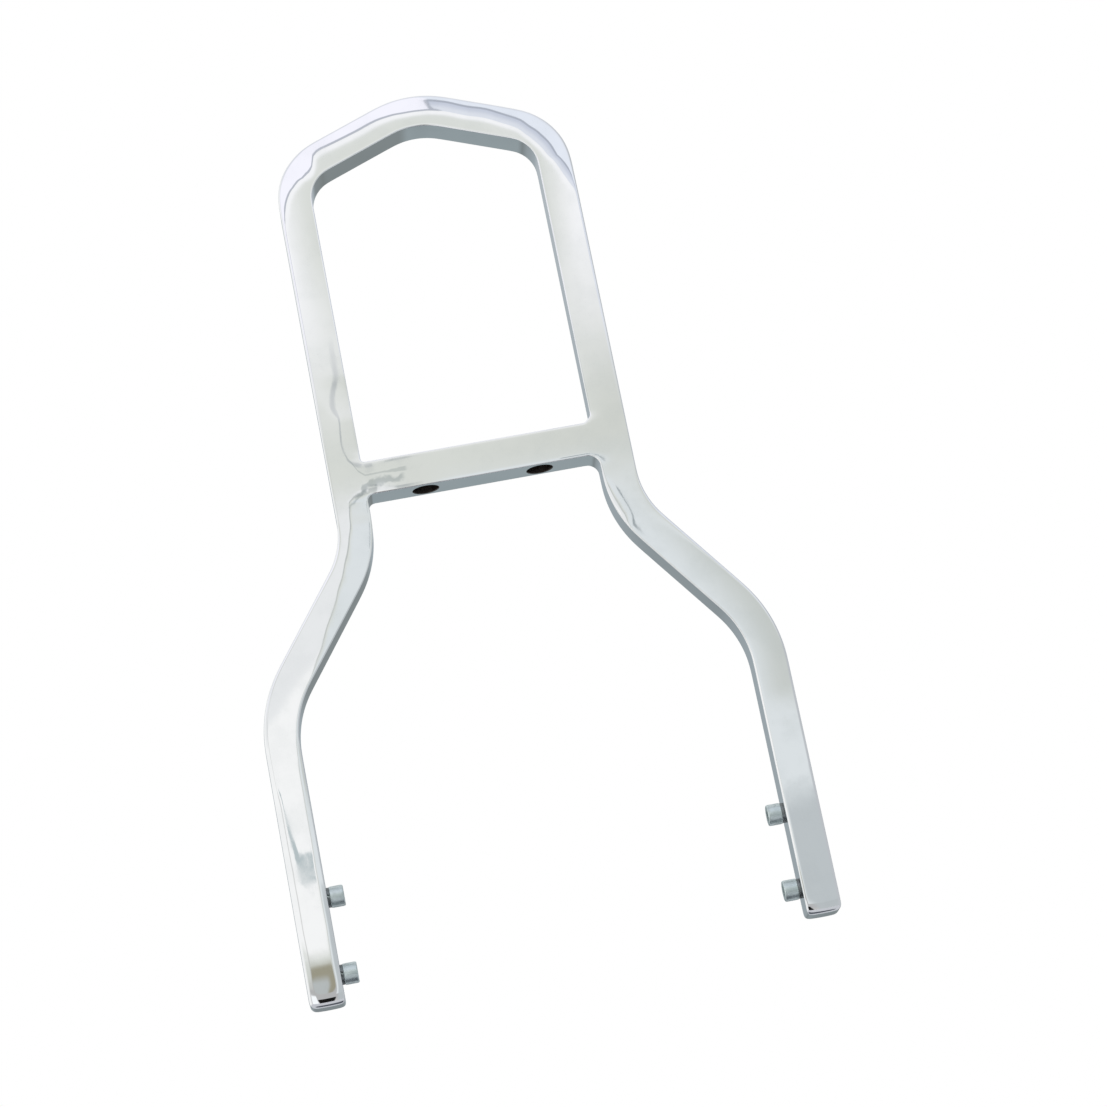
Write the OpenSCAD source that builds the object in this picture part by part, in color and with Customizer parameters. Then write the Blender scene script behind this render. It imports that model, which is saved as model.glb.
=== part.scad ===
// Sissy bar for a motorcycle: one square bar bent in a plane, with a welded
// crossbar, four socket head screws and their lock washers.
// Millimetres, +Z up, front face towards -Y. The origin lies midway between
// the two feet, on the plane that they end in and in the bar's middle plane.

/* [Bar stock] */
// Width of the square bar across its flats
bar_w = 15.875; // [14:0.125:18]
// Radius that rounds the bar's long edges
edge_r = 1.6; // [0.8:0.1:2.4]

/* [Bent bar] */
// Distance between the middle lines of the two legs
leg_spacing = 223.2; // [205:0.2:245]
// Distance between the middle lines of the hoop's two sides
hoop_spacing = 123.6; // [108:0.2:140]
// Height of the corner where a leg starts to lean inwards
hip_z = 135; // [110:0.2:145]
// How far the leaning stretch runs inwards, for its rise below
lean_run = 3; // [2.5:0.1:3.2]
// How far the leaning stretch rises, for its run above
lean_rise = 4; // [3.5:0.1:4.5]
// Height of the corner between a hoop side and the arch
shoulder_z = 389.7; // [360:0.1:410]
// How far half the arch runs inwards, for its rise below
arch_run = 117; // [100:1:130]
// How far half the arch rises, for its run above
arch_rise = 44; // [35:1:50]
// Radius of the bend at the hip, on the middle line
hip_r = 55; // [35:1:60]
// Radius of the bend at the waist, on the middle line
waist_r = 46; // [30:1:50]
// Radius of the bend at the shoulder, on the middle line
shoulder_r = 23; // [16:1:30]
// Radius of the bend at the apex, on the middle line
apex_r = 40; // [20:1:60]

/* [Feet] */
// Radius of the rounded front edge of a leg's end
foot_front_r = 3.7; // [2:0.1:6]
// Radius of the rounded outer corner of a leg's end
foot_outer_r = 2.2; // [1:0.1:5]
// Radius of the eased inner corner of a leg's end
foot_inner_r = 1.4; // [0.6:0.2:3]

/* [Crossbar] */
// Height of the crossbar's middle line
crossbar_z = 235.1; // [226:0.1:248]
// Distance between the crossbar's two pad screw holes
pad_hole_spacing = 53.3; // [40:0.1:70]
// Diameter of a pad screw hole
pad_hole_d = 6.8; // [5:0.1:8]
// Diameter of the counterbore below a pad screw hole
pad_counterbore_d = 11.9; // [9:0.1:12.5]
// Depth of the counterbore, from the crossbar's underside
pad_counterbore_depth = 7.2; // [4:0.1:10]

/* [Welds] */
// Radius of the weld fillet above the crossbar
weld_upper_r = 2.6; // [1.5:0.1:5]
// Radius of the weld fillet below the crossbar
weld_lower_r = 3.8; // [1.5:0.1:6]
// Depth by which the ground weld lies under the bar's front and back faces
weld_sink = 0.2; // [0.1:0.05:0.4]

/* [Screws] */
// Height of the lower screw above the foot
lower_screw_z = 13.7; // [10:0.1:18]
// Distance between the two screws of a leg
screw_spacing = 34.9; // [25:0.1:45]
// Diameter of the screw's thread
thread_d = 6.35; // [5:0.05:7]
// Gap between the thread and the wall of its tapped hole
thread_gap = 0.04; // [0.02:0.01:0.1]
// Wall left between the tapped hole's full depth and the leg's outer face
tap_wall = 3.375; // [2.5:0.125:5]
// Gap between the screw's tip and the bottom of its tapped hole
tip_gap = 1; // [0.5:0.1:2]
// Diameter of the screw's head
head_d = 9.53; // [8.5:0.01:11]
// Height of the screw's head
head_h = 6.35; // [5:0.05:8]
// Bevel on the outer rim of the head
head_bevel = 0.6; // [0.3:0.1:1]
// Width of the hexagon socket across its flats
socket_flats = 4.76; // [4:0.02:5]
// Depth of the hexagon socket
socket_depth = 3.2; // [2:0.1:4]

/* [Lock washers] */
// Outer diameter of the lock washer
washer_d = 9; // [8:0.1:11]
// Gap between the thread and the washer's hole
washer_gap = 0.2; // [0.1:0.05:0.4]
// Thickness of the lock washer
washer_t = 1.2; // [0.8:0.1:2]
// Width of the slanted split in the washer
split_w = 0.9; // [0.5:0.1:1.5]
// Slant of the split from the washer's axis, in degrees
split_slant = 30; // [0:5:45]

/* [Hidden] */
$fn = 64;

leg_x = leg_spacing / 2;
hoop_x = hoop_spacing / 2;
half_w = bar_w / 2;
leg_inner_x = leg_x - half_w;
hoop_inner_x = hoop_x - half_w;
crossbar_l = 2 * hoop_inner_x;
upper_screw_z = lower_screw_z + screw_spacing;
tap_depth = bar_w - tap_wall;
tap_d = thread_d + 2 * thread_gap;
tap_point_h = tap_d / 2 * tan(31);
shank_l = tap_depth - tip_gap + washer_t;
washer_hole_d = thread_d + 2 * washer_gap;
socket_corners_d = socket_flats / cos(30);
washer_band = (washer_d - washer_hole_d) / 2;
// How far a cutter runs past the face that it opens
past = 1;
// Share of a weld fillet's radius that its toes reach along each face
weld_reach = 0.8;

// Turns of the bends, in degrees, and the length of straight bar that each
// bend takes up on either side of its corner
lean_turn = atan2(lean_run, lean_rise);
arch_turn = atan2(arch_rise, arch_run);
shoulder_turn = 90 - arch_turn;
function taken(r, turn) = r * tan(turn / 2);
hip_taken = taken(hip_r, lean_turn);
waist_taken = taken(waist_r, lean_turn);
shoulder_taken = taken(shoulder_r, shoulder_turn);
apex_taken = taken(apex_r, 2 * arch_turn);

waist_z = hip_z + (leg_x - hoop_x) * lean_rise / lean_run;
apex_z = shoulder_z + hoop_x * arch_rise / arch_run;
// Height of the middle line where the arch is highest
crown_z = apex_z - apex_r * (1 / cos(arch_turn) - 1);

// From the arch's crown down to the right foot: the straight run, the bend
// radius and the turn (leftwards if positive) of each stretch
stretches = [
    [0, apex_r, -arch_turn],
    [hoop_x / cos(arch_turn) - apex_taken - shoulder_taken, shoulder_r, -shoulder_turn],
    [shoulder_z - waist_z - shoulder_taken - waist_taken, waist_r, lean_turn],
    [(waist_z - hip_z) / cos(lean_turn) - waist_taken - hip_taken, hip_r, -lean_turn],
    [hip_z - hip_taken + past, 0, 0]
];

module bar_section() {
    flat = bar_w - 2 * edge_r;
    square([bar_w, flat], center = true);
    square([flat, bar_w], center = true);
    for (x = [-1, 1], y = [-1, 1])
        translate([x, y] * flat / 2) circle(r = edge_r);
}

// Bar of length l along +X, centred on the axis
module straight_bar(l) {
    rotate([90, 0, 90]) linear_extrude(l) bar_section();
}

// Block that holds all of a bend of radius r that lies ahead of the YZ plane
module ahead(r) {
    size = 2 * (r + bar_w);
    translate([0, -size, -bar_w]) cube([size, 2 * size, 2 * bar_w]);
}

// Carries its children from a bend's start, heading along +X, to its end
module after_bend(r, turn) {
    side = turn > 0 ? 1 : -1;
    translate([0, side * r, 0]) rotate([0, 0, turn]) translate([0, -side * r, 0]) children();
}

// The bar on a bend of radius r that starts at the origin, heading along +X
module bend(r, turn) {
    side = turn > 0 ? 1 : -1;
    intersection() {
        translate([0, side * r, 0]) rotate_extrude() translate([r, 0]) bar_section();
        ahead(r);
        after_bend(r, turn) mirror([1, 0, 0]) ahead(r);
    }
}

// The bar from stretch i on, lying in the XY plane and heading along +X
module bar_from(i) {
    l = stretches[i][0];
    if (l > 0) straight_bar(l);
    if (i < len(stretches) - 1)
        translate([l, 0, 0]) {
            bend(stretches[i][1], stretches[i][2]);
            after_bend(stretches[i][1], stretches[i][2]) bar_from(i + 1);
        }
}

// What a foot loses below the plane y = 0 and outside a round of radius r in
// the corner at the origin, over a face w wide
module foot_cutter(r, w) {
    translate([0, 0, -past]) linear_extrude(bar_w + 2 * past)
        difference() {
            translate([-past, -2 * past]) square([w + 2 * past, r + 2 * past]);
            translate([r, 0]) square([w + 2 * past, r + past]);
            translate([r, r]) circle(r = r);
        }
}

module foot_rounding() {
    translate([leg_inner_x, -half_w, 0])
        rotate([90, 0, 90]) foot_cutter(foot_front_r, bar_w);
    translate([leg_x + half_w, half_w, 0])
        rotate([90, 0, 0]) mirror([1, 0, 0]) foot_cutter(foot_outer_r, bar_w);
    translate([leg_inner_x, half_w, 0])
        rotate([90, 0, 0]) foot_cutter(foot_inner_r, bar_w);
}

// Turns a piece made for the right leg half a turn to the left leg
module on_side(side) {
    rotate([0, 0, side > 0 ? 0 : 180]) children();
}

module tapped_hole(z) {
    translate([leg_inner_x, 0, z]) rotate([0, 90, 0]) {
        translate([0, 0, -past]) cylinder(d = tap_d, h = tap_depth + past);
        translate([0, 0, tap_depth]) cylinder(d1 = tap_d, d2 = 0, h = tap_point_h);
    }
}

module bent_bar() {
    color([0.80, 0.82, 0.84])
        difference() {
            for (side = [0, 1])
                mirror([side, 0, 0]) translate([0, 0, crown_z]) rotate([90, 0, 0]) bar_from(0);
            foot_rounding();
            mirror([1, 0, 0]) foot_rounding();
            for (side = [-1, 1], z = [lower_screw_z, upper_screw_z])
                on_side(side) tapped_hole(z);
        }
}

module crossbar() {
    color([0.78, 0.80, 0.82])
        difference() {
            translate([-hoop_inner_x, 0, crossbar_z]) straight_bar(crossbar_l);
            for (side = [-1, 1])
                translate([side * pad_hole_spacing / 2, 0, crossbar_z - half_w]) {
                    translate([0, 0, -past]) cylinder(d = pad_hole_d, h = bar_w + 2 * past);
                    translate([0, 0, -past])
                        cylinder(d = pad_counterbore_d, h = pad_counterbore_depth + past);
                }
        }
}

// Section of a weld fillet of radius r in the corner at the origin, whose
// faces run along -X and +Y
module fillet_section(r) {
    reach = r * weld_reach;
    difference() {
        translate([-reach, 0]) square(reach);
        translate([-r, r]) circle(r = r);
    }
}

// Weld metal round the crossbar's right end: the two fillets, and what fills
// the grooves beside the hoop side's rounded edges
module weld() {
    depth = bar_w - 2 * weld_sink;
    top = weld_upper_r * weld_reach;
    bottom = weld_lower_r * weld_reach;
    translate([hoop_inner_x, depth / 2, crossbar_z]) rotate([90, 0, 0]) linear_extrude(depth) {
        translate([0, half_w]) fillet_section(weld_upper_r);
        translate([0, -half_w]) mirror([0, 1]) fillet_section(weld_lower_r);
    }
    difference() {
        translate([hoop_inner_x, -depth / 2, crossbar_z - half_w - bottom])
            cube([edge_r, depth, bar_w + top + bottom]);
        translate([hoop_x, 0, crossbar_z - bar_w])
            rotate([0, -90, 0]) straight_bar(2 * bar_w);
    }
}

module weld_right() {
    color([0.72, 0.74, 0.76]) weld();
}

module weld_left() {
    color([0.72, 0.74, 0.76]) mirror([1, 0, 0]) weld();
}

// Socket head screw with its axis on X, its head's underside on the YZ plane
// and its shank along +X
module screw() {
    color([0.56, 0.60, 0.57])
        rotate([0, 90, 0]) {
            cylinder(d = thread_d, h = shank_l);
            difference() {
                union() {
                    translate([0, 0, head_bevel - head_h])
                        cylinder(d = head_d, h = head_h - head_bevel);
                    translate([0, 0, -head_h])
                        cylinder(d1 = head_d - 2 * head_bevel, d2 = head_d, h = head_bevel);
                }
                translate([0, 0, -head_h - past])
                    cylinder(d = socket_corners_d, h = socket_depth + past, $fn = 6);
            }
        }
}

module screw_at(side, z) {
    on_side(side) translate([leg_inner_x - washer_t, 0, z]) screw();
}

// Split lock washer with its axis on X, between the YZ plane and x = -washer_t
module lock_washer() {
    color([0.45, 0.48, 0.46])
        rotate([0, -90, 0])
            difference() {
                cylinder(d = washer_d, h = washer_t);
                translate([0, 0, -past]) cylinder(d = washer_hole_d, h = washer_t + 2 * past);
                translate([0, (washer_d - washer_band) / 2, washer_t / 2])
                    rotate([0, split_slant, 0])
                        cube([split_w, 2 * washer_band, 4 * washer_t], center = true);
            }
}

module lock_washer_at(side, z) {
    on_side(side) translate([leg_inner_x, 0, z]) lock_washer();
}

module screw_left_lower() screw_at(-1, lower_screw_z);
module screw_left_upper() screw_at(-1, upper_screw_z);
module screw_right_lower() screw_at(1, lower_screw_z);
module screw_right_upper() screw_at(1, upper_screw_z);
module lock_washer_left_lower() lock_washer_at(-1, lower_screw_z);
module lock_washer_left_upper() lock_washer_at(-1, upper_screw_z);
module lock_washer_right_lower() lock_washer_at(1, lower_screw_z);
module lock_washer_right_upper() lock_washer_at(1, upper_screw_z);

bent_bar();
crossbar();
weld_left();
weld_right();
screw_left_lower();
screw_left_upper();
screw_right_lower();
screw_right_upper();
lock_washer_left_lower();
lock_washer_left_upper();
lock_washer_right_lower();
lock_washer_right_upper();
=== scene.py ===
"""Looks of a chromed sissy bar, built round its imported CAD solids.

The bent bar, the crossbar and the two ground welds are one polished and plated surface on the real
object, so one mesh stands for those four solids. Four knurled screws and their split lock washers
stand for theirs. Lengths are in metres, in the frame of the CAD model: +Z up along the legs, the
front face towards -Y, and the origin midway between the two feet.
"""

import logging
import math
from collections.abc import Callable, Iterator, Sequence
from contextlib import contextmanager
from dataclasses import dataclass
from enum import Enum

import bmesh
import bpy
from mathutils import Matrix, Vector, noise


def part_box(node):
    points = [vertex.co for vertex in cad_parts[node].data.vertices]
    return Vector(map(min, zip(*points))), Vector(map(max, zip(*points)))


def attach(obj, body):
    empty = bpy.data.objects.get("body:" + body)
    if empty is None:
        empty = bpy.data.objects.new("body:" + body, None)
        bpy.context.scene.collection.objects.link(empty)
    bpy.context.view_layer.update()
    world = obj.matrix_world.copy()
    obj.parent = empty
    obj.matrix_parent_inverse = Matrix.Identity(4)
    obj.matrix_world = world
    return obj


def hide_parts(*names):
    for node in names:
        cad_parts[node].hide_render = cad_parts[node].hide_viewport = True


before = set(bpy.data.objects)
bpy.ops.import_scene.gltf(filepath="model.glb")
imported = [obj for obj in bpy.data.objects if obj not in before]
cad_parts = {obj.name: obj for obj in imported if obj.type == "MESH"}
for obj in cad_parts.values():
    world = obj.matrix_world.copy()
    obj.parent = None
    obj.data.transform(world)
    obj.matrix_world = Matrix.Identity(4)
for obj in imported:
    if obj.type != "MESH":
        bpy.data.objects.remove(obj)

LOG = logging.getLogger("sissy_bar")
MM = 0.001
SLACK = 0.01 * MM  # Points closer than this count as one place.
HAIR = 0.001 * MM  # Finished meshes have their doubles merged within this.
FACING = 0.9  # Faces point a way where their normals' share along it is above this.
QUARTER = math.pi / 2
BODY = "root"
FRONT = Vector((0, -1, 0))
WHITE = (1.0, 1.0, 1.0)
Colour = tuple[float, float, float]
Number = float | int
Rise = tuple[float, float]  # Where a smooth rise or fall starts and where it ends.
Range = tuple[float, float, float]  # Low end, high end, and the fade's width outside them.


class Side(Enum):
    """Which half of the object a piece belongs to, as the photo shows it."""

    LEFT = "left"
    RIGHT = "right"

    @property
    def sign(self) -> int:
        """The sign of X on this side."""
        return 1 if self is Side.RIGHT else -1


class Part(Enum):
    """What a mesh-edit selection picks."""

    VERTS = 0
    EDGES = 1
    FACES = 2


class Value:
    """A node socket's output that takes part in Python expressions."""

    def __init__(self, graph: "Graph", socket: bpy.types.NodeSocket) -> None:
        """Wraps a socket of a graph.

        Args:
            graph: The graph that the socket's node is in.
            socket: The output socket.
        """
        self.graph = graph
        self.socket = socket

    def __add__(self, other: "Value | Number") -> "Value":
        """This value plus another."""
        return self.graph.math("ADD", self, other)

    __radd__ = __add__

    def __mul__(self, other: "Value | Number") -> "Value":
        """This value times another."""
        return self.graph.math("MULTIPLY", self, other)

    __rmul__ = __mul__

    def __sub__(self, other: "Value | Number") -> "Value":
        """This value less another."""
        return self.graph.math("SUBTRACT", self, other)

    def __rsub__(self, other: Number) -> "Value":
        """A number less this value."""
        return self.graph.math("SUBTRACT", other, self)

    def __abs__(self) -> "Value":
        """This value without its sign."""
        return self.graph.math("ABSOLUTE", self)

    def above(self, low: Number, high: Number) -> "Value":
        """Rises smoothly from 0 where this value is low to 1 where it is high.

        Args:
            low: The value where the rise starts.
            high: The value where it ends.

        Returns:
            The smooth mask.
        """
        settings = {"interpolation_type": "SMOOTHSTEP"}
        inputs = {"Value": self, "From Min": low, "From Max": high}
        return self.graph.node("ShaderNodeMapRange", settings, inputs)

    def below(self, low: Number, high: Number) -> "Value":
        """Falls smoothly from 1 where this value is low to 0 where it is high."""
        return 1 - self.above(low, high)

    def between(self, low: Number, high: Number, soft: Number) -> "Value":
        """Is 1 from low to high and fades to 0 over soft on both sides."""
        return self.above(low - soft, low) * self.below(high, high + soft)


class Graph:
    """A shader graph that is written as calls and expressions."""

    def __init__(self, tree: bpy.types.NodeTree) -> None:
        """Empties the tree and starts on it.

        Args:
            tree: The node tree of a material or a world.
        """
        self.tree = tree
        tree.nodes.clear()

    def node(
        self,
        kind: str,
        settings: dict[str, object] | None = None,
        inputs: dict[str | int, object] | None = None,
        output: str | int = 0,
    ) -> Value:
        """Adds a node.

        Args:
            kind: The node's type.
            settings: Properties of the node, set first. A ramp's stops go under "stops".
            inputs: Values or links of its sockets, by name or place.
            output: The output socket that is wanted, by name or place.

        Returns:
            The wanted output.
        """
        made = self.tree.nodes.new(kind)
        for name, setting in (settings or {}).items():
            if name == "stops":
                self._set_stops(made, setting)
            else:
                setattr(made, name, setting)
        for name, given in (inputs or {}).items():
            socket = made.inputs[name]
            if isinstance(given, Value):
                self.tree.links.new(given.socket, socket)
            else:
                socket.default_value = given
        return Value(self, made.outputs[output] if made.outputs else None)

    @staticmethod
    def _set_stops(ramp: bpy.types.Node, stops: Sequence[tuple[float, Colour]]) -> None:
        """Gives a colour ramp its stops.

        Args:
            ramp: The ramp's node.
            stops: Place and colour of each stop, in order.
        """
        elements = ramp.color_ramp.elements
        while len(elements) < len(stops):
            elements.new(1.0)
        for element, (place, colour) in zip(elements, stops):
            element.position = place
            element.color = (*colour, 1.0)

    def math(self, operation: str, *values: "Value | Number") -> Value:
        """Adds a Math node and returns its result."""
        return self.node("ShaderNodeMath", {"operation": operation}, dict(enumerate(values)))

    def largest(self, *values: "Value | Number") -> Value:
        """The larger of two values."""
        return self.math("MAXIMUM", *values)

    def axes(self, where: Value) -> tuple[Value, Value, Value]:
        """Takes coordinates or a direction apart.

        Args:
            where: The coordinates or the direction.

        Returns:
            Its X, Y and Z.
        """
        parts = self.node("ShaderNodeSeparateXYZ", None, {"Vector": where})
        sockets = parts.socket.node.outputs
        return tuple(Value(self, sockets[axis]) for axis in "XYZ")

    def blend(self, factor: Value, start: object, end: object) -> Value:
        """Mixes two colours, which are a Mix node's sockets 6 and 7.

        Args:
            factor: 0 gives the start and 1 the end.
            start: A colour or a link.
            end: A colour or a link.

        Returns:
            The mixed colour.
        """
        start, end = (c if isinstance(c, Value) else (*c, 1.0) for c in (start, end))
        inputs = {0: factor, 6: start, 7: end}
        return self.node("ShaderNodeMix", {"data_type": "RGBA"}, inputs, output=2)

    def place(self, scale: Sequence[float] = (1, 1, 1)) -> Value:
        """The object's own coordinates, stretched by a scale along each axis."""
        here = self.node("ShaderNodeTexCoord", output="Object")
        return self.node("ShaderNodeMapping", None, {"Vector": here, "Scale": scale})

    def noise(self, where: Value, scale: float, detail: float = 2.0, rough: float = 0.5) -> Value:
        """A noise texture's value.

        Args:
            where: The coordinates that it reads.
            scale: Features in a metre.
            detail: Octaves of finer noise.
            rough: How strong the finer octaves are.

        Returns:
            The noise, mostly between 0.3 and 0.7.
        """
        inputs = {"Vector": where, "Scale": scale, "Detail": detail, "Roughness": rough}
        return self.node("ShaderNodeTexNoise", None, inputs)

    def bump(self, height: Value, metres: float, normal: Value | None = None) -> Value:
        """A normal that follows a height.

        Args:
            height: The height, where 1 stands for the given metres.
            metres: The real height of a step of 1.
            normal: A normal that this one is laid over.

        Returns:
            The bumped normal.
        """
        inputs = {"Strength": 1.0, "Distance": metres, "Height": height}
        if normal is not None:
            inputs["Normal"] = normal
        return self.node("ShaderNodeBump", None, inputs)

    def metal(self, inputs: dict[str, object]) -> None:
        """Ends a material's graph in a bare metal surface with these inputs."""
        shader = self.node("ShaderNodeBsdfPrincipled", None, {"Metallic": 1.0, **inputs})
        self.node("ShaderNodeOutputMaterial", None, {"Surface": shader})


def fresh_material(name: str) -> tuple[bpy.types.Material, Graph]:
    """Makes an empty material.

    Args:
        name: The material's name.

    Returns:
        The material and its graph.
    """
    material = bpy.data.materials.new(name)
    material.use_nodes = True
    return material, Graph(material.node_tree)


@dataclass(frozen=True)
class Chrome:
    """Bright chrome plate on hand-buffed steel.

    Beside the left weld, a painted reflection of the grey post is laid into the colour: a fine line
    and a wider dark band. Each runs level at a height on the front face, and slopes to the left of
    its bends, up for the line and down for the band.
    """

    colour: Colour = (0.90, 0.91, 0.915)
    haze_colour: Colour = (0.84, 0.855, 0.86)
    haze_cover: Rise = (0.42, 0.68)
    haze_share: float = 0.6
    # Colour of the painted reflection of the grey post beside the left weld.
    post_reflection_colour: Colour = (0.50, 0.54, 0.56)
    waves_per_metre: float = 24.0
    wave_height: float = 0.05 * MM
    grind_place: tuple[float, float, float] = (-0.048, -0.008, 0.236)
    grind_reach: Rise = (8 * MM, 40 * MM)
    grind_elsewhere: float = 0.15
    grind_height: float = 0.006 * MM
    ripple_height: float = 0.004 * MM
    polish: float = 0.012
    haze: float = 0.035
    wipe_cover: Rise = (0.55, 0.8)
    wipe: float = 0.015
    front_y: Rise = (-7.8 * MM, -7.0 * MM)
    # Where the painted reflection of the post runs: a fine line, and a wider dark band below it.
    line_z: float = 236.6 * MM
    line_bends: tuple[tuple[float, float], ...] = ((-53 * MM, 0.85), (-56 * MM, 1.1))
    line_x: Range = (-58.5 * MM, -35 * MM, 2 * MM)
    line_wander: float = 1.2 * MM
    line_edge: Rise = (0.1 * MM, 0.7 * MM)
    line_spread: float = 0.6 * MM
    line_spread_x: Rise = (-46 * MM, -35 * MM)
    line_strength: float = 0.5
    reflected_band_z: float = 232.5 * MM
    reflected_band_bend: tuple[float, float] = (-51.5 * MM, 0.85)
    reflected_band_x: Range = (-61.5 * MM, -37.5 * MM, 3 * MM)
    reflected_band_wander: float = 7 * MM
    reflected_band_edge: Rise = (0.7 * MM, 2.5 * MM)
    reflected_band_taper: float = 0.12
    reflected_band_strength: float = 0.7

    def material(self) -> bpy.types.Material:
        """Makes the finish.

        Returns:
            The material: long waves of hand buffing, fine ripple, faint haze, and a painted
                reflection of the grey post beside the left weld.
        """
        material, graph = fresh_material("chrome_plate")
        here = graph.place()
        waves = graph.noise(here, self.waves_per_metre, detail=1.0, rough=0.35)
        ripple = graph.noise(graph.place(scale=(1.0, 1.0, 0.45)), scale=160.0)
        cloud = graph.noise(here, scale=60.0, detail=4.0, rough=0.6).above(*self.haze_cover)
        streaks = graph.noise(graph.place(scale=(1.0, 1.0, 0.12)), scale=900.0, rough=0.6)
        plate = graph.blend(cloud * self.haze_share, self.colour, self.haze_colour)
        inputs = {0: here, 1: self.grind_place}
        away = graph.node("ShaderNodeVectorMath", {"operation": "DISTANCE"}, inputs, "Value")
        near = away.below(*self.grind_reach) + self.grind_elsewhere
        normal = graph.bump(waves, self.wave_height)
        normal = graph.bump(graph.noise(here, scale=85.0) * near, self.grind_height, normal)
        wiped = streaks.above(*self.wipe_cover) * self.wipe
        # The base colour carries a painted reflection of the grey post beside the left weld.
        graph.metal(
            {
                "Base Color": graph.blend(self._painted_post_reflection(graph, here), plate, self.post_reflection_colour),
                "Roughness": cloud * self.haze + wiped + self.polish,
                "Normal": graph.bump(ripple, self.ripple_height, normal),
            }
        )
        return material

    def _painted_post_reflection(self, graph: Graph, here: Value) -> Value:
        """Masks the painted reflection of the grey post beside the left weld: the line and the dark
        band.

        Args:
            graph: The material's graph.
            here: The object's own coordinates.

        Returns:
            How strong the painted reflection is.
        """
        x, y, z = graph.axes(here)
        wobble = graph.noise(here, scale=240.0) - 0.5
        rise = sum(graph.largest(bend - x, 0.0) * slope for bend, slope in self.line_bends)
        off_line = abs(z - rise - self.line_z - wobble * self.line_wander)
        off_line = off_line - x.above(*self.line_spread_x) * self.line_spread
        line = off_line.below(*self.line_edge) * x.between(*self.line_x)
        bend, slope = self.reflected_band_bend
        fall = graph.largest(bend - x, 0.0) * slope
        off_reflected_band = abs(z + fall - self.reflected_band_z - wobble * self.reflected_band_wander)
        off_reflected_band = off_reflected_band + fall * self.reflected_band_taper
        reflected_band = off_reflected_band.below(*self.reflected_band_edge) * x.between(*self.reflected_band_x)
        # Both are a painted reflection of the grey post, not marks on the metal.
        marks = graph.largest(line * self.line_strength, reflected_band * self.reflected_band_strength)
        return marks * y.below(*self.front_y)


@dataclass(frozen=True)
class Zinc:
    """Dull zinc plate on a steel fastener. Darker copies also carry painted shade: on the washers,
    and on the bare steel in the bores.
    """

    name: str
    colour: Colour
    stain: Colour
    roughness: float = 0.3
    stain_cover: Rise = (0.4, 0.68)
    stain_roughness: float = 0.1
    grain_roughness: float = 0.06
    grain_height: float = 0.002 * MM

    def material(self) -> bpy.types.Material:
        """Makes the finish.

        Returns:
            The material: cloudy plate with darker stains, fine grain and uneven gloss.
        """
        material, graph = fresh_material(self.name)
        here = graph.place()
        cloud = graph.noise(here, scale=350.0, detail=3.0, rough=0.6).above(*self.stain_cover)
        grain = graph.noise(here, scale=3200.0, detail=3.0, rough=0.6)
        uneven = cloud * self.stain_roughness + grain * self.grain_roughness
        graph.metal(
            {
                "Base Color": graph.blend(cloud, self.colour, self.stain),
                "Roughness": uneven + self.roughness,
                "Normal": graph.bump(grain, self.grain_height),
            }
        )
        return material


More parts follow.
